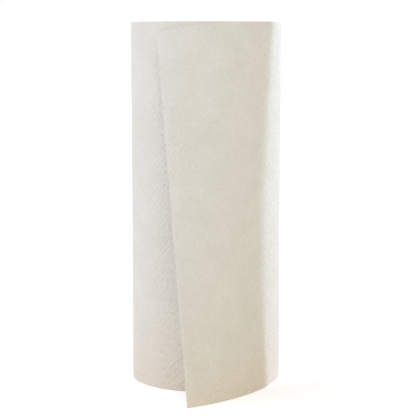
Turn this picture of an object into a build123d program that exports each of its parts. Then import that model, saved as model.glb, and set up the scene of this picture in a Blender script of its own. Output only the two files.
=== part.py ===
from build123d import *
from math import cos, degrees, radians, sin, sqrt
import os

# A paper towel roll that stands on its end, in millimetres.
# The origin is on the core's axis, at the floor. +Z runs up the core, and -Y is the roll's front.

# Roll
sheet_width = 279.4            # the web's width, which is the roll's height
roll_radius = 58.6             # outside of the last turn, where the tail leaves it
sheet_thickness = 0.5          # two embossed plies

# Core
core_bore = 41.0               # inside diameter, which a holder's rod goes through
core_wall = 0.8                # spiral-wound cardboard

# Turns, as they show on both ends: a spiral V groove stands for the gaps between them
turns_shown = 3                # evenly spaced between the core and the last turn
turn_gap_width = 1.2
turn_gap_depth = 1.0

# Tail: the loose end, which hugs the roll at the top and swings out to the front at the floor
tail_start = -17.0             # plan angle from +X where it leaves the roll, in degrees
tail_length = 114.7            # from there to the free edge
tail_floor_radius = 155.7      # of its bottom edge, which stands on the floor
tail_level_share = 0.35        # share of its top edge that is still level

core_radius = core_bore / 2 + core_wall


def around(centre, radius, angle):
    """A point in plan, at an angle in degrees about a centre."""
    return centre + Vector(cos(radians(angle)), sin(radians(angle))) * radius


def tail_section(centre, radius, sweep):
    """The tail in plan: an arc of sheet, clockwise from its root, with its outside at radius."""
    outer = CenterArc(centre, radius, tail_start, -sweep)
    inner = CenterArc(centre, radius - sheet_thickness, tail_start, -sweep)
    Line(outer @ 0, inner @ 0)
    Line(outer @ 1, inner @ 1)


# The last turn steps in by one sheet where the tail leaves it. Under the tail, the roll is a half
# circle about a centre that is half a sheet off the axis, and the tail's top lies on that.
outward = around(Vector(), 1, tail_start)
hug_centre = -outward * (sheet_thickness / 2)
hug_radius = roll_radius + sheet_thickness / 2
floor_centre = -outward * (tail_floor_radius - roll_radius)
hug_sweep = degrees(tail_length / hug_radius)
floor_sweep = degrees(tail_length / tail_floor_radius)

# The free edge is as long as the sheet is wide. It leans out, so its top corner sits lower.
level_point = around(hug_centre, hug_radius, tail_start - hug_sweep * tail_level_share)
top_corner = around(hug_centre, hug_radius, tail_start - hug_sweep)
floor_corner = around(floor_centre, tail_floor_radius, tail_start - floor_sweep)
corner_height = sqrt(sheet_width**2 - (floor_corner - top_corner).length**2)

# Core: a plain tube, as long as the sheet is wide
with BuildPart() as core_tube:
    with BuildSketch(Plane.XY):
        Circle(core_radius)
        Circle(core_bore / 2, mode=Mode.SUBTRACT)
    extrude(amount=sheet_width)

# Tail, upper part: it lies on the roll, and its top edge curves down to the corner
with BuildPart() as tail_top:
    with BuildSketch(Plane.XY.offset(corner_height)):
        with BuildLine():
            tail_section(hug_centre, hug_radius, hug_sweep)
        make_face()
    extrude(amount=sheet_width - corner_height)
    with BuildSketch(Plane.XZ):
        with BuildLine():
            drop = TangentArc(
                (level_point.X, sheet_width),
                (top_corner.X, corner_height),
                tangent=(-1, 0),
            )
            Polyline(
                drop @ 1,
                (-2 * roll_radius, corner_height),
                (-2 * roll_radius, sheet_width),
                drop @ 0,
            )
        make_face()
    extrude(amount=2 * roll_radius, mode=Mode.SUBTRACT)

# Tail, lower part: straight lines from the roll down to the floor
with BuildPart() as tail_flare:
    with BuildSketch(Plane.XY):
        with BuildLine():
            tail_section(floor_centre, tail_floor_radius, floor_sweep)
        make_face()
    with BuildSketch(Plane.XY.offset(corner_height)):
        with BuildLine():
            tail_section(hug_centre, hug_radius, hug_sweep)
        make_face()
    loft(ruled=True)

# The groove's spiral runs inwards as the web does, in half circles that each shrink by half a pitch
turn_pitch = (roll_radius - sheet_thickness - core_radius) / (turns_shown + 1)
first_turn_radius = roll_radius - sheet_thickness - turn_pitch / 2

# Roll and tail: one web of paper
with BuildPart() as paper_roll:
    with BuildSketch(Plane.XY):
        with BuildLine():
            CenterArc((0, 0), roll_radius, tail_start, 180)
            CenterArc(hug_centre, hug_radius - sheet_thickness, tail_start + 180, 180)
            Line(outward * roll_radius, outward * (roll_radius - sheet_thickness))
        make_face()
        Circle(core_radius, mode=Mode.SUBTRACT)
    extrude(amount=sheet_width)
    add(tail_top.part)
    add(tail_flare.part)
    for end, into in ((sheet_width, -1), (0, 1)):
        for half in range(2 * turns_shown):
            side = 1 - 2 * (half % 2)
            radius = first_turn_radius - half * turn_pitch / 2
            centre = Vector(min(side, 0) * turn_pitch / 2, 0, end)
            with BuildSketch(Plane(centre, x_dir=(side, 0, 0), z_dir=(0, -side, 0))):
                with BuildLine():
                    Polyline(
                        (radius - turn_gap_width / 2, 0),
                        (radius + turn_gap_width / 2, 0),
                        (radius, into * turn_gap_depth),
                        close=True,
                    )
                make_face()
            revolve(axis=Axis(centre, (0, 0, 1)), revolution_arc=180, mode=Mode.SUBTRACT)

os.makedirs("parts", exist_ok=True)
core_tube.part.label = "core_tube"
paper_roll.part.label = "paper_roll"
for piece in (core_tube.part, paper_roll.part):
    export_step(piece, f"parts/{piece.label}.step")
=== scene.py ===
import math

import bmesh
import bpy
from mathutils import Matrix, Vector, noise


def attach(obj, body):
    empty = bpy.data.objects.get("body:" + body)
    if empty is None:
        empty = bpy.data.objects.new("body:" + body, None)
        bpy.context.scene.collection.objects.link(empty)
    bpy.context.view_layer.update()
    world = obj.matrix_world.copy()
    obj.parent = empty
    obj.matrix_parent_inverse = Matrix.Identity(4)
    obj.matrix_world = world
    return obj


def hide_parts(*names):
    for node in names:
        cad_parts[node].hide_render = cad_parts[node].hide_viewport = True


# A paper towel roll that stands on its end. Metres, with the core's axis as Z and the front towards -Y.

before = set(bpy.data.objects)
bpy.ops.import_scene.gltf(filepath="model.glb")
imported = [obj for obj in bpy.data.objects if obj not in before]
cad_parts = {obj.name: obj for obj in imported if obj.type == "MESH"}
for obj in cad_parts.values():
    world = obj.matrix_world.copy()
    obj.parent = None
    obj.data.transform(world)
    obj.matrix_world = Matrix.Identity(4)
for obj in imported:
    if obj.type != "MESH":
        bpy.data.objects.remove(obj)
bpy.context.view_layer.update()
bpy.ops.object.select_all(action="DESELECT")

MM = 0.001
SAME_PLACE = 0.001 * MM  # points nearer than this are one point

# Sizes of the real roll, as the solids have them
WEB_WIDTH = 279.4 * MM  # the web's width, which is the roll's height
ROLL_RADIUS = 58.6 * MM
GIRTH = 2 * math.pi * ROLL_RADIUS
SHEET = 0.5 * MM  # two embossed plies
SHEET_LENGTH = 279.4 * MM  # from one perforation to the next
CORE_RADIUS = 21.3 * MM
CORE_WALL = 0.8 * MM
ROOT_ANGLE = math.radians(-17)  # plan angle where the tail leaves the roll
TAIL_LENGTH = 114.7 * MM
TAIL_FLOOR_RADIUS = 155.7 * MM  # of the arc in which the tail stands on the floor

# Embossed points: a staggered pattern, one point in the middle of every four
DOTS_AROUND = 74
DOTS_UP = 56
DOT_PITCH_AROUND = GIRTH / DOTS_AROUND
DOT_PITCH_UP = WEB_WIDTH / DOTS_UP
DOT_DEPTH = 0.2 * MM
PRESS = 0.85  # share of that depth that the points have on average
PRESS_CHANGE = 0.5
PRESS_SIZE = 20 * MM  # the press is firmer and softer over this distance
FADE_LENGTH = 4 * DOT_PITCH_AROUND  # the points fade out before the outer turn goes under the tail's root

# Creping: low, uneven puckers all over the sheet
CREPE_SIZE = 2.6 * MM  # coarser than the real 0.5 mm so that it shows
CREPE_DEPTH = 0.08 * MM

# The flat web's mesh
STEPS = 4  # mesh steps from one point to the next
COLUMNS = DOTS_AROUND * STEPS
ROWS = DOTS_UP * STEPS
TAIL_COLUMNS = round(TAIL_LENGTH / DOT_PITCH_AROUND) * STEPS
COLUMN_WIDTH = GIRTH / COLUMNS

# The perforation after the torn one, on a mesh column: slits of about 4 mm, bonds of about 1 mm between them
PERFORATION = round((SHEET_LENGTH - TAIL_LENGTH) / COLUMN_WIDTH) * COLUMN_WIDTH
SLIT_DEPTH = 0.15 * MM

# Slow unevenness of a soft roll: hollows, each with its size along the web and up it, and rounded rims
HOLLOW_DEPTH = 0.15 * MM
WIDE_HOLLOW = (75 * MM, 110 * MM)
SMALL_HOLLOW = (30 * MM, 45 * MM)
SMALL_SHARE = 0.4  # depth of the small hollows beside the wide ones
FOOT_ROUNDING = 0.35 * MM
FOOT_HEIGHT = 9 * MM
FOOT_WEAR = 0.8  # share of the foot's rounding on average
FOOT_WEAR_CHANGE = 0.5
FOOT_WEAR_SIZE = 50 * MM
HEAD_ROUNDING = 0.2 * MM
HEAD_HEIGHT = 4 * MM

# The real roll has about 75 turns of half a millimetre, too fine to show, so fewer are drawn
TURNS = 26
RINGS = 2 * TURNS  # a rim and a gap beside it for each turn
TURN_PITCH = (ROLL_RADIUS - SHEET - CORE_RADIUS) / (TURNS - 1)

# How the turns lie and end. A rate is how often the change comes, per turn
TURN_CHANGES = ((0.30, 1.3, 4), (0.20, 4.1, 5))  # share of the pitch, rate and seed
CALM_TURNS = 2  # the changes die away over this many turns at the core and at the outside
OUTER_TURNS = 2  # the outside's hollows die away over this many turns further in
RIM_DROP = 0.15 * MM
RIM_RATE = 2.2
RIM_NICK = 0.12 * MM
NICK_RATE = 9.0
GAP_DEPTH = 0.75 * MM
GAP_LEAST = 0.45 * MM
GAP_CHANGE = 0.45 * MM
GAP_RATE = 1.7
GAP_ROW = 3  # a row of the noise that the rims leave free
GAP_PARTING = 0.5 * MM  # deeper by this where turns part
PARTING_RATE = 0.6
PARTING_ROW = 5
GAP_AT_CORE = 0.3 * MM  # the last gap is deeper by this
RIM_REACH = 10 * MM  # further in than this, the turns' ends no longer shift the web
UPRIGHT_EDGE = 1.1 * MM  # the web's upright edges are longer than this, and the turns' edges shorter
HOLE_SIDES = 8  # holes with up to this many sides are closed

# The tail's free edge: torn, turned in a little, and springing off the roll higher up
TORN_DEPTH = 0.25 * MM
TORN_SIZE = 2.1 * MM
TORN_WIDTH = 0.5 * MM
CURL = 0.45 * MM
CURL_WIDTH = 1.3 * MM
LIFT = 0.2 * MM
LIFT_WIDTH = 16 * MM  # back from the free edge
LIFT_FROM = 40 * MM  # the lift begins this far up
LIFT_RISE = 60 * MM  # and is full this much higher
CALM_LENGTH = 25 * MM  # the roll's slow unevenness dies away along this much of the tail

# The cardboard core, wound from board strips
STRIP_WIDTH = 66 * MM  # measured along the core
# Mesh rows of a strip, as shares of its width, closer together at the seam
STRIP_ROWS = (0.0, 0.008, 0.016, 0.1, 0.25, 0.4, 0.6, 0.75, 0.9, 0.984, 0.992)
SEAM_DEPTH = 0.22 * MM
CORE_COLUMNS = 96
CORE_FOOT = 0.1 * MM  # the saw leaves the core a little short of both ends of the roll
CORE_HEAD = WEB_WIDTH - 0.2 * MM

# Real sizes of the patterns in the materials
CLOUD = 18 * MM  # slow mottling of the tissue's pulp
FLOCK = 1.6 * MM  # flocks of its fibre, coarser than the real 0.1 mm fibres so that they show
FLOCK_BUMP = 0.2 * MM
PUCKER = 4.5 * MM  # creping, coarser than the real 0.5 mm so that it shows
PUCKER_BUMP = 0.4 * MM
QUILT_BUMP = 0.28 * MM
SLIT_WIDTH = 0.7 * MM  # a real slit is 0.1 mm wide, so it is drawn wider to show
SLIT_REACH = 0.4  # how far a slit reaches up and down, as a share of the pitch of the points: 2 mm
# painted shade: the perforation's slits are darkened to this share of their colour
PAINTED_SLIT_SHADE = 0.8
BOARD_CLOUD = 11 * MM  # slow mottling of the board
BOARD_SPECK = 1.1 * MM  # flecks of recycled fibre
BOARD_BUMP = 0.15 * MM

# A Mix node's sockets for colours
FIRST = 6
SECOND = 7
MIXED = 2
BLEND = {"data_type": "RGBA"}
TINT = {"data_type": "RGBA", "blend_type": "MULTIPLY"}

SEED_SHIFT = (17.3, 5.1, 9.7)  # each seed moves on by this to a part of the noise of its own


def drift(place, seed):
    """A smooth random value from -1 to 1 that is the same in every run."""
    return noise.noise(Vector(place) + Vector([seed * shift for shift in SEED_SHIFT]))


def ease(share):
    """0 to 1 with a soft start and a soft stop."""
    share = min(1.0, max(0.0, share))
    return share * share * (3 - 2 * share)


def plan_point(centre, radius, angle, height):
    """The point at a plan angle about a centre, at a height."""
    return Vector((centre.x + radius * math.cos(angle), centre.y + radius * math.sin(angle), height))


# Helpers for shaping by hand


def choose(piece):
    """Makes a piece the only one selected, and the active one."""
    bpy.ops.object.select_all(action="DESELECT")
    bpy.context.view_layer.objects.active = piece
    piece.select_set(True)


def edit(piece):
    """Opens a piece in edit mode with nothing selected."""
    choose(piece)
    bpy.ops.object.mode_set(mode="EDIT")
    bpy.ops.mesh.select_mode(type="EDGE")
    bpy.ops.mesh.select_all(action="DESELECT")


def pick_edges(piece, wanted):
    """Selects just the edges that are wanted, in a piece that is open in edit mode."""
    mesh = bmesh.from_edit_mesh(piece.data)
    for edge in mesh.edges:
        edge.select_set(wanted(edge))
    mesh.select_flush_mode()


def thicken(piece, thickness):
    """Gives a surface its thickness, inwards."""
    wall = piece.modifiers.new("thickness", "SOLIDIFY")
    wall.thickness = thickness
    wall.offset = -1
    wall.use_rim = True
    choose(piece)
    bpy.ops.object.modifier_apply(modifier=wall.name)


def keep_between(piece, lowest, highest):
    """Trims a piece's corners to a lowest and a highest level."""
    for vertex in piece.data.vertices:
        vertex.co.z = min(highest, max(lowest, vertex.co.z))


def lay_web(name, start, length, columns, rows):
    """Lays a flat stretch of web: X runs along it from the tail's root, Y up its width, Z outwards."""
    bpy.ops.mesh.primitive_grid_add(x_subdivisions=columns, y_subdivisions=rows, size=1)
    piece = bpy.context.active_object
    piece.name = piece.data.name = name
    piece.scale = (length, WEB_WIDTH, 1)
    piece.location = (start + length / 2, WEB_WIDTH / 2, 0)
    bpy.ops.object.transform_apply(location=True, rotation=True, scale=True)
    for layer in list(piece.data.uv_layers):
        piece.data.uv_layers.remove(layer)
    return piece


def map_web(piece):
    """Keeps each point's place on the flat web, in metres, as the piece's UV map."""
    layer = piece.data.uv_layers.new(name="web")
    for loop in piece.data.loops:
        place = piece.data.vertices[loop.vertex_index].co
        layer.data[loop.index].uv = (place.x, place.y)


# The relief of the web, as a depth inwards at a place on the flat web


def dot_dent(along, up):
    """The embossing, deepest at each point with soft puffs between the points, and the creping."""
    across = 2 * math.pi * along / DOT_PITCH_AROUND
    height = 2 * math.pi * up / DOT_PITCH_UP
    quilt = 0.5 + 0.5 * math.cos(across) * math.cos(height)
    press = PRESS + PRESS_CHANGE * drift((along / PRESS_SIZE, up / PRESS_SIZE, 0), seed=1)
    crepe = 0.5 + 0.5 * drift((along / CREPE_SIZE, up / CREPE_SIZE, 0), seed=12)
    return DOT_DEPTH * press * quilt * quilt + CREPE_DEPTH * crepe


def soft_dent(along, up):
    """The slow unevenness of a soft roll, always inwards, with its rims rounded by handling."""
    wide = drift((along / WIDE_HOLLOW[0], up / WIDE_HOLLOW[1], 0), seed=2)
    small = drift((along / SMALL_HOLLOW[0], up / SMALL_HOLLOW[1], 0), seed=3)
    hollow = max(-1.0, min(1.0, wide + SMALL_SHARE * small))
    wear = FOOT_WEAR + FOOT_WEAR_CHANGE * drift((along / FOOT_WEAR_SIZE, 0, 0), seed=11)
    foot = FOOT_ROUNDING * wear * (1 - ease(up / FOOT_HEIGHT))
    head = HEAD_ROUNDING * (1 - ease((WEB_WIDTH - up) / HEAD_HEIGHT))
    return HOLLOW_DEPTH * (1 + hollow) + foot + head


def slit_dent(along, up):
    """The perforation: a shallow crease that stops at each bond, halfway between two points."""
    near = max(0.0, 1 - abs(along - PERFORATION) / (COLUMN_WIDTH / 2))
    bonded = round(up / WEB_WIDTH * ROWS) % STEPS == STEPS // 2
    return 0.0 if bonded else SLIT_DEPTH * near


# The wound roll


def turn_radius(turn):
    """Distance from the core's axis of the web, that many turns in from the tail's root."""
    if turn <= 1:
        return ROLL_RADIUS - SHEET * turn
    if turn >= TURNS:
        return CORE_RADIUS
    loose = sum(share * drift((turn * rate, 0, 0), seed) for share, rate, seed in TURN_CHANGES)
    calm = min(1.0, (turn - 1) / CALM_TURNS, (TURNS - turn) / CALM_TURNS)
    return ROLL_RADIUS - SHEET - (turn - 1 - loose * calm) * TURN_PITCH


def rim_drop(turn, end):
    """How far a turn's edge stands back from the end of the roll."""
    turn = min(turn, TURNS)
    wave = drift((turn * RIM_RATE, end, 0), seed=6)
    nick = abs(drift((turn * NICK_RATE, end, 0), seed=7))
    return RIM_DROP * (1 + wave) + RIM_NICK * nick


def gap_depth(turn, end):
    """How deep the gap beside a turn looks, from the end of the roll."""
    at_core = GAP_AT_CORE if turn > TURNS else 0.0
    turn = min(turn, TURNS)
    change = drift((turn * GAP_RATE, end, GAP_ROW), seed=8)
    parting = max(0.0, drift((turn * PARTING_RATE, end, PARTING_ROW), seed=9))
    return max(GAP_LEAST, GAP_DEPTH + GAP_CHANGE * change + GAP_PARTING * parting) + at_core


def on_border(edge):
    """Whether an edge of the flat web lies along one of its two borders."""
    one, other = (vertex.co.y for vertex in edge.verts)
    return abs(one - other) < SAME_PLACE and min(abs(one), abs(WEB_WIDTH - one)) < SAME_PLACE


def wind_roll():
    """The whole web but its tail: laid flat with both borders cut to turns, then wound round the core."""
    roll = lay_web("towel_roll", 0, GIRTH, COLUMNS, ROWS)
    depth = ROLL_RADIUS - CORE_RADIUS
    edit(roll)
    pick_edges(roll, on_border)
    bpy.ops.mesh.extrude_edges_move(TRANSFORM_OT_translate={"value": (0, 0, -depth)})
    pick_edges(roll, lambda edge: abs(edge.verts[0].co.z - edge.verts[1].co.z) > depth / 2)
    bpy.ops.mesh.subdivide(number_cuts=RINGS - 1)
    pick_edges(roll, lambda edge: max(edge.verts[0].co.z, edge.verts[1].co.z) < SAME_PLACE - depth)
    bpy.ops.mesh.bridge_edge_loops()
    bpy.ops.object.mode_set(mode="OBJECT")
    map_web(roll)

    for vertex in roll.data.vertices:
        along, up, out = vertex.co
        ring = round(-out / depth * RINGS)
        turn = along / GIRTH + ring / 2
        end = 1 if up > WEB_WIDTH / 2 else 0
        outer = max(0.0, 1 - max(0.0, turn - 1) / OUTER_TURNS)
        radius = turn_radius(turn) - soft_dent(turn * GIRTH, up) * outer
        if ring == 0:
            radius -= dot_dent(along, up) * ease((GIRTH - along) / FADE_LENGTH) + slit_dent(along, up)
        reach = up if end == 0 else WEB_WIDTH - up
        drop = gap_depth(turn, end) if ring % 2 else rim_drop(turn, end)
        drop *= 1 - ease(reach / RIM_REACH)
        height = up + drop if end == 0 else up - drop
        vertex.co = plan_point(Vector(), radius, ROOT_ANGLE + along / ROLL_RADIUS, height)

    edit(roll)
    bpy.ops.mesh.select_all(action="SELECT")
    bpy.ops.mesh.remove_doubles(threshold=SAME_PLACE)
    pick_edges(
        roll,
        lambda edge: edge.is_boundary and abs(edge.verts[0].co.z - edge.verts[1].co.z) > UPRIGHT_EDGE,
    )
    bpy.ops.mesh.bridge_edge_loops()
    bpy.ops.mesh.select_all(action="SELECT")
    bpy.ops.mesh.fill_holes(sides=HOLE_SIDES)
    bpy.ops.mesh.normals_make_consistent(inside=False)
    bpy.ops.object.mode_set(mode="OBJECT")
    return roll


# The loose tail

OUTWARD = Vector((math.cos(ROOT_ANGLE), math.sin(ROOT_ANGLE), 0))
HUG_RADIUS = ROLL_RADIUS + SHEET / 2
HUG_CENTRE = OUTWARD * (ROLL_RADIUS - HUG_RADIUS)
FLOOR_CENTRE = OUTWARD * (ROLL_RADIUS - TAIL_FLOOR_RADIUS)


def tail_foot(far):
    """Where the tail stands on the floor, that far along it from its root."""
    return plan_point(FLOOR_CENTRE, TAIL_FLOOR_RADIUS, ROOT_ANGLE - far / TAIL_FLOOR_RADIUS, 0)


def tail_head(far, height):
    """Where the tail hugs the roll, that far along it from its root."""
    return plan_point(HUG_CENTRE, HUG_RADIUS, ROOT_ANGLE - far / HUG_RADIUS, height)


def hang_tail():
    """The loose end of the web: straight lines from where it hugs the roll down to its curved foot."""
    tail = lay_web("towel_tail", -TAIL_LENGTH, TAIL_LENGTH, TAIL_COLUMNS, ROWS)
    map_web(tail)
    corner_shift = tail_head(TAIL_LENGTH, 0) - tail_foot(TAIL_LENGTH)
    head_height = math.sqrt(WEB_WIDTH**2 - corner_shift.length_squared)
    for vertex in tail.data.vertices:
        along, up = vertex.co.xy
        torn = ease(1 - (TAIL_LENGTH + along) / TORN_WIDTH)
        far = -along + torn * TORN_DEPTH * drift((up / TORN_SIZE, 0, 0), seed=10)
        foot = tail_foot(far)
        head = tail_head(far, head_height)
        line = head - foot
        share = min(1.0, up / line.length)
        place = foot + line * share
        place.z += max(0.0, up - line.length)
        foot_out = foot - FLOOR_CENTRE
        head_out = head - HUG_CENTRE
        head_out.z = 0
        out = foot_out.normalized().lerp(head_out.normalized(), share).normalized()
        calm = 1 - ease(far / CALM_LENGTH)
        lift = LIFT * ease((far - TAIL_LENGTH + LIFT_WIDTH) / LIFT_WIDTH) * ease((up - LIFT_FROM) / LIFT_RISE)
        curl = CURL * ease(1 - (TAIL_LENGTH - far) / CURL_WIDTH)
        vertex.co = place + out * (lift - curl - dot_dent(along, up) - soft_dent(along, up) * calm)
    thicken(tail, SHEET)
    keep_between(tail, 0.0, WEB_WIDTH)
    return tail


# The cardboard core


def wind_core():
    """The core: a board strip wound in a steep spiral, butted edge to edge, and sawn off square."""
    around = 2 * math.pi * CORE_RADIUS
    strips = math.ceil(WEB_WIDTH / STRIP_WIDTH) + 1
    rows = strips * len(STRIP_ROWS)
    core = lay_web("card_core", 0, around, CORE_COLUMNS, rows)
    for vertex in core.data.vertices:
        along, up = vertex.co.xy
        strip, step = divmod(round(up / WEB_WIDTH * rows), len(STRIP_ROWS))
        height = (strip - 1 + STRIP_ROWS[step] + along / around) * STRIP_WIDTH
        radius = CORE_RADIUS - SEAM_DEPTH if step == 0 else CORE_RADIUS
        vertex.co = plan_point(Vector(), radius, 2 * math.pi * along / around, height)
    edit(core)
    bpy.ops.mesh.select_all(action="SELECT")
    bpy.ops.mesh.remove_doubles(threshold=10 * SAME_PLACE)
    for height, below in ((CORE_FOOT, True), (CORE_HEAD, False)):
        bpy.ops.mesh.select_all(action="SELECT")
        bpy.ops.mesh.bisect(
            plane_co=(0, 0, height), plane_no=(0, 0, 1), clear_inner=below, clear_outer=not below
        )
    bpy.ops.object.mode_set(mode="OBJECT")
    thicken(core, CORE_WALL)
    keep_between(core, CORE_FOOT, CORE_HEAD)
    return core


# Materials


def linear(code):
    """A colour as seen on screen, such as #E8E4DA, as Blender's linear values."""
    levels = [int(code[i : i + 2], 16) / 255 for i in (1, 3, 5)]
    return [c / 12.92 if c <= 0.04045 else ((c + 0.055) / 1.055) ** 2.4 for c in levels] + [1.0]


def add(tree, kind, settings=None, inputs=None, feed=None):
    """Adds a node: settings are its own options, inputs its socket values, feed the sockets linked in."""
    node = tree.nodes.new(kind)
    for key, value in (settings or {}).items():
        setattr(node, key, value)
    for key, value in (inputs or {}).items():
        node.inputs[key].default_value = value
    for key, socket in (feed or {}).items():
        tree.links.new(socket, node.inputs[key])
    return node


def new_material(name, finish):
    """A material with its node tree and its shader, which has the finish's values on its own sockets."""
    material = bpy.data.materials.new(name)
    material.use_nodes = True
    tree = material.node_tree
    tree.nodes.clear()
    shader = add(tree, "ShaderNodeBsdfPrincipled", inputs=finish)
    add(tree, "ShaderNodeOutputMaterial", feed={"Surface": shader.outputs["BSDF"]})
    return material, tree, shader


# Towel tissue is two plies of creped pulp, off a drying cylinder. Its loose fibres scatter all light, so the
# eye sees a warm, matt white, cloudy where the pulp lay thicker, with a faint sheen at a slant and no gloss
TISSUE_FINISH = {
    "Roughness": 0.92,
    "Specular IOR Level": 0.2,
    "Sheen Weight": 0.08,
    "Sheen Roughness": 0.6,
}
FACE_SHADES = ("#E2DFD4", "#E7E4DA")

# The same tissue where a saw cut the roll to width: its cut fibres look a shade darker, not embossed
SAWN_SHADES = ("#D8D3C6", "#E2DED3")

# Core board is recycled chipboard, glued and wound: a flat grey-brown, dull, with darker flecks of old fibre
BOARD_FINISH = {"Roughness": 0.85, "Specular IOR Level": 0.3}
BOARD_SHADES = ("#A8957A", "#BBA88C")


def tissue(name, shades, embossed):
    """Creped tissue: two shades in clouds, flecked and napped by its fibres, and embossed on its faces, with
    painted shade in the slits of their perforation.
    """
    material, tree, shader = new_material(name, TISSUE_FINISH)
    solid = add(tree, "ShaderNodeTexCoord").outputs["Object"]
    cloud = add(
        tree, "ShaderNodeTexNoise", inputs={"Scale": 1 / CLOUD, "Detail": 3.0}, feed={"Vector": solid}
    )
    tone = add(
        tree,
        "ShaderNodeMapRange",
        inputs={"From Min": 0.3, "From Max": 0.7},
        feed={"Value": cloud.outputs["Fac"]},
    )
    pale = add(
        tree,
        "ShaderNodeMix",
        BLEND,
        {FIRST: linear(shades[0]), SECOND: linear(shades[1])},
        {"Factor": tone.outputs["Result"]},
    )
    fibre = add(
        tree,
        "ShaderNodeTexNoise",
        inputs={"Scale": 1 / FLOCK, "Detail": 4.0, "Roughness": 0.65},
        feed={"Vector": solid},
    )
    fleck = add(
        tree,
        "ShaderNodeMapRange",
        inputs={"From Min": 0.35, "From Max": 0.7, "To Min": 0.985, "To Max": 1.0},
        feed={"Value": fibre.outputs["Fac"]},
    )
    colour = add(
        tree,
        "ShaderNodeMix",
        TINT,
        {"Factor": 1.0},
        {FIRST: pale.outputs[MIXED], SECOND: fleck.outputs["Result"]},
    )
    nap = add(
        tree,
        "ShaderNodeBump",
        inputs={"Strength": 0.2, "Distance": FLOCK_BUMP},
        feed={"Height": fibre.outputs["Fac"]},
    )
    shade = colour.outputs[MIXED]
    normal = nap.outputs["Normal"]
    if embossed:
        web = add(tree, "ShaderNodeUVMap", {"uv_map": "web"}).outputs["UV"]
        # painted shade in the perforation's slits, darkening the colour there
        shade = paint_slit_shade(tree, web, shade)
        normal = emboss(tree, web, normal)
    tree.links.new(shade, shader.inputs["Base Color"])
    tree.links.new(normal, shader.inputs["Normal"])
    return material


def emboss(tree, web, normal):
    """Adds to the mesh's relief: creping puckers, then soft puffs between the embossed points."""
    pucker = add(
        tree, "ShaderNodeTexNoise", inputs={"Scale": 1 / PUCKER, "Detail": 1.0}, feed={"Vector": web}
    )
    creping = add(
        tree,
        "ShaderNodeBump",
        inputs={"Strength": 1.0, "Distance": PUCKER_BUMP},
        feed={"Height": pucker.outputs["Fac"], "Normal": normal},
    )
    # the staggered points are a square lattice turned by 45 degrees, a little uneven, as on soft paper
    lattice = add(
        tree,
        "ShaderNodeMapping",
        inputs={
            "Rotation": (0, 0, math.radians(45)),
            "Scale": (math.sqrt(2) / DOT_PITCH_AROUND, math.sqrt(2) / DOT_PITCH_UP, 1),
        },
        feed={"Vector": web},
    )
    cell = add(
        tree,
        "ShaderNodeTexVoronoi",
        {"voronoi_dimensions": "2D", "feature": "SMOOTH_F1"},
        {"Scale": 1.0, "Randomness": 0.4, "Smoothness": 0.25},
        {"Vector": lattice.outputs["Vector"]},
    )
    puff = add(
        tree,
        "ShaderNodeMapRange",
        {"interpolation_type": "SMOOTHSTEP"},
        {"From Min": 0.0, "From Max": 0.55},
        {"Value": cell.outputs["Distance"]},
    )
    quilting = add(
        tree,
        "ShaderNodeBump",
        inputs={"Strength": 1.0, "Distance": QUILT_BUMP},
        feed={"Height": puff.outputs["Result"], "Normal": creping.outputs["Normal"]},
    )
    return quilting.outputs["Normal"]


def paint_slit_shade(tree, web, colour):
    """Paints shade into the slits of the perforation: the colour is darkened there."""
    place = add(tree, "ShaderNodeSeparateXYZ", feed={0: web})
    off = add(tree, "ShaderNodeMath", {"operation": "SUBTRACT"}, {1: PERFORATION}, {0: place.outputs["X"]})
    away = add(tree, "ShaderNodeMath", {"operation": "ABSOLUTE"}, feed={0: off.outputs[0]})
    line = add(tree, "ShaderNodeMath", {"operation": "LESS_THAN"}, {1: SLIT_WIDTH / 2}, {0: away.outputs[0]})
    rows = add(tree, "ShaderNodeMath", {"operation": "DIVIDE"}, {1: DOT_PITCH_UP}, {0: place.outputs["Y"]})
    phase = add(tree, "ShaderNodeMath", {"operation": "PINGPONG"}, {1: 0.5}, {0: rows.outputs[0]})
    cut = add(tree, "ShaderNodeMath", {"operation": "LESS_THAN"}, {1: SLIT_REACH}, {0: phase.outputs[0]})
    slit = add(
        tree, "ShaderNodeMath", {"operation": "MULTIPLY"}, feed={0: line.outputs[0], 1: cut.outputs[0]}
    )
    dark = add(
        tree,
        "ShaderNodeMapRange",
        inputs={"To Min": 1.0, "To Max": PAINTED_SLIT_SHADE},
        feed={"Value": slit.outputs[0]},
    )
    slit_shaded = add(
        tree, "ShaderNodeMix", TINT, {"Factor": 1.0}, {FIRST: colour, SECOND: dark.outputs["Result"]}
    )
    return slit_shaded.outputs[MIXED]


def core_board(name, shades):
    """Recycled chipboard: two shades in clouds, with darker flecks that are also a little rough."""
    material, tree, shader = new_material(name, BOARD_FINISH)
    solid = add(tree, "ShaderNodeTexCoord").outputs["Object"]
    cloud = add(
        tree, "ShaderNodeTexNoise", inputs={"Scale": 1 / BOARD_CLOUD, "Detail": 4.0}, feed={"Vector": solid}
    )
    speck = add(
        tree, "ShaderNodeTexNoise", inputs={"Scale": 1 / BOARD_SPECK, "Detail": 3.0}, feed={"Vector": solid}
    )
    base = add(
        tree,
        "ShaderNodeMix",
        BLEND,
        {FIRST: linear(shades[0]), SECOND: linear(shades[1])},
        {"Factor": cloud.outputs["Fac"]},
    )
    dark = add(
        tree,
        "ShaderNodeMapRange",
        inputs={"From Min": 0.3, "From Max": 0.55, "To Min": 0.8, "To Max": 1.0},
        feed={"Value": speck.outputs["Fac"]},
    )
    colour = add(
        tree,
        "ShaderNodeMix",
        TINT,
        {"Factor": 1.0},
        {FIRST: base.outputs[MIXED], SECOND: dark.outputs["Result"]},
    )
    bump = add(
        tree,
        "ShaderNodeBump",
        inputs={"Strength": 0.4, "Distance": BOARD_BUMP},
        feed={"Height": speck.outputs["Fac"]},
    )
    tree.links.new(colour.outputs[MIXED], shader.inputs["Base Color"])
    tree.links.new(bump.outputs["Normal"], shader.inputs["Normal"])
    return material


# Making the pieces

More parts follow.
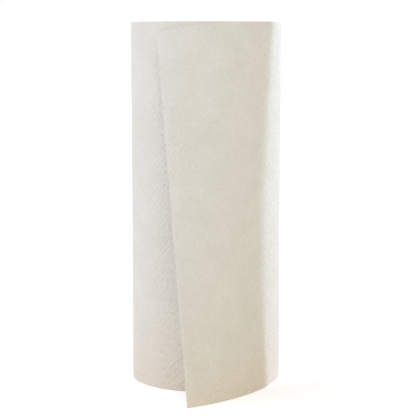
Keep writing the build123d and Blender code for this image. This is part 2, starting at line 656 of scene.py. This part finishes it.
SMOOTH_ANGLE = math.radians(40)
END_SLOPE = 0.25  # a face of the roll that looks up or down by more than this is part of a sawn end

towel_roll = wind_roll()
towel_tail = hang_tail()
card_core = wind_core()

towel = tissue("embossed towel tissue", FACE_SHADES, embossed=True)
sawn = tissue("sawn towel edges", SAWN_SHADES, embossed=False)
board = core_board("recycled core board", BOARD_SHADES)

towel_roll.data.materials.append(towel)
towel_roll.data.materials.append(sawn)
for face in towel_roll.data.polygons:
    if abs(face.normal.z) > END_SLOPE:
        face.material_index = 1
towel_tail.data.materials.append(towel)
card_core.data.materials.append(board)

for piece in (towel_roll, towel_tail, card_core):
    choose(piece)
    bpy.ops.object.shade_smooth_by_angle(angle=SMOOTH_ANGLE)
    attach(piece, "root")
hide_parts("paper_roll")
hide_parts("paper_roll")
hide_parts("core_tube")

# Floor, light and camera

FLOOR_SIZE = 12  # metres
WOOD_REACH = 0.10  # the warm floor about the foot begins to pale here
PALE_REACH = 0.20  # and is pale from here on
FLOOR_GLOW = 0.3  # lifts the floor that the camera sees to white, and leaves the roll's shadow
WHITE = (1, 1, 1, 1)
ROOM_LIGHT = 0.33  # even, from all round
# Where each comes from and its strength in red, green and blue: cool from the left, warm from the front right
SIDE_LIGHTS = (
    ((-1, 0, 0), (1.22, 1.30, 1.57, 1)),
    ((0.707, -0.707, 0), (0.83, 0.79, 0.68, 1)),
)


def white_to_camera(tree, light, seen):
    """One shader for the light that the roll gets, and another, plain white, where the camera looks."""
    path = add(tree, "ShaderNodeLightPath")
    looking = path.outputs["Is Camera Ray"]
    for way in ("Is Glossy Ray", "Is Transmission Ray"):
        either = add(
            tree, "ShaderNodeMath", {"operation": "MAXIMUM"}, feed={0: looking, 1: path.outputs[way]}
        )
        looking = either.outputs[0]
    return add(tree, "ShaderNodeMixShader", feed={0: looking, 1: light, 2: seen}).outputs[0]


bpy.ops.mesh.primitive_plane_add(size=FLOOR_SIZE)
floor = bpy.context.active_object
floor.name = "floor"
floor_paint = bpy.data.materials.new("pale floor")
floor_paint.use_nodes = True
tree = floor_paint.node_tree
tree.nodes.clear()
# the light that it throws back: warm as wood about the roll's foot, paler further off
spot = add(tree, "ShaderNodeTexCoord").outputs["Object"]
away = add(tree, "ShaderNodeVectorMath", {"operation": "LENGTH"}, feed={0: spot})
paling = add(
    tree,
    "ShaderNodeMapRange",
    {"interpolation_type": "SMOOTHSTEP"},
    {"From Min": WOOD_REACH, "From Max": PALE_REACH},
    {"Value": away.outputs["Value"]},
)
tone = add(
    tree,
    "ShaderNodeMix",
    BLEND,
    {FIRST: linear("#FFE4C2"), SECOND: linear("#FFFBF4")},
    {"Factor": paling.outputs["Result"]},
)
wood = add(tree, "ShaderNodeBsdfDiffuse", feed={"Color": tone.outputs[MIXED]})
paint = add(tree, "ShaderNodeBsdfDiffuse", inputs={"Color": WHITE})
glow = add(tree, "ShaderNodeEmission", inputs={"Color": WHITE, "Strength": FLOOR_GLOW})
shining = add(tree, "ShaderNodeAddShader", feed={0: paint.outputs[0], 1: glow.outputs[0]})
surface = white_to_camera(tree, wood.outputs[0], shining.outputs[0])
add(tree, "ShaderNodeOutputMaterial", feed={"Surface": surface})
floor.data.materials.append(floor_paint)

world = bpy.data.worlds.new("studio")
bpy.context.scene.world = world
world.use_nodes = True
tree = world.node_tree
tree.nodes.clear()
facing = add(tree, "ShaderNodeTexCoord").outputs["Generated"]
room = add(tree, "ShaderNodeBackground", inputs={"Color": WHITE, "Strength": ROOM_LIGHT})
for towards, strength in SIDE_LIGHTS:
    along = add(tree, "ShaderNodeVectorMath", {"operation": "DOT_PRODUCT"}, {1: towards}, {0: facing})
    share = add(tree, "ShaderNodeMath", {"operation": "MAXIMUM"}, {1: 0.0}, {0: along.outputs["Value"]})
    side = add(tree, "ShaderNodeBackground", inputs={"Color": strength}, feed={"Strength": share.outputs[0]})
    room = add(tree, "ShaderNodeAddShader", feed={0: room.outputs[0], 1: side.outputs[0]})
backdrop = add(tree, "ShaderNodeBackground", inputs={"Color": WHITE, "Strength": 1.0})
surroundings = white_to_camera(tree, room.outputs[0], backdrop.outputs[0])
add(tree, "ShaderNodeOutputWorld", feed={"Surface": surroundings})

# The window's light comes from behind on the right. Its cone ends at a sharp edge, as light past a window
# frame does, so it reaches only the roll's right side
lamp = bpy.data.lights.new("window light", "SPOT")
lamp.energy = 119
lamp.color = (0.625, 0.725, 1.0)
lamp.shadow_soft_size = 0.002
lamp.spot_size = math.radians(94.38)
lamp.spot_blend = 0.0048
window = bpy.data.objects.new("window light", lamp)
bpy.context.scene.collection.objects.link(window)
window.location = (1.628, 0.940, 0.824)
window.rotation_euler = Vector((-0.922, 0.290, -0.255)).to_track_quat("-Z", "Y").to_euler()

# The photograph's viewpoint, a little below the roll's top, looking slightly down
camera_data = bpy.data.cameras.new("camera")
camera_data.sensor_width = 36
camera_data.lens = 120.8
camera_data.clip_start = 0.01
camera = bpy.data.objects.new("camera", camera_data)
bpy.context.scene.collection.objects.link(camera)
camera.location = (0.0017, -1.0945, 0.2617)
camera.rotation_euler = (math.radians(90 - 6.65), 0, 0)
bpy.context.scene.camera = camera
bpy.context.scene.view_settings.view_transform = "Standard"
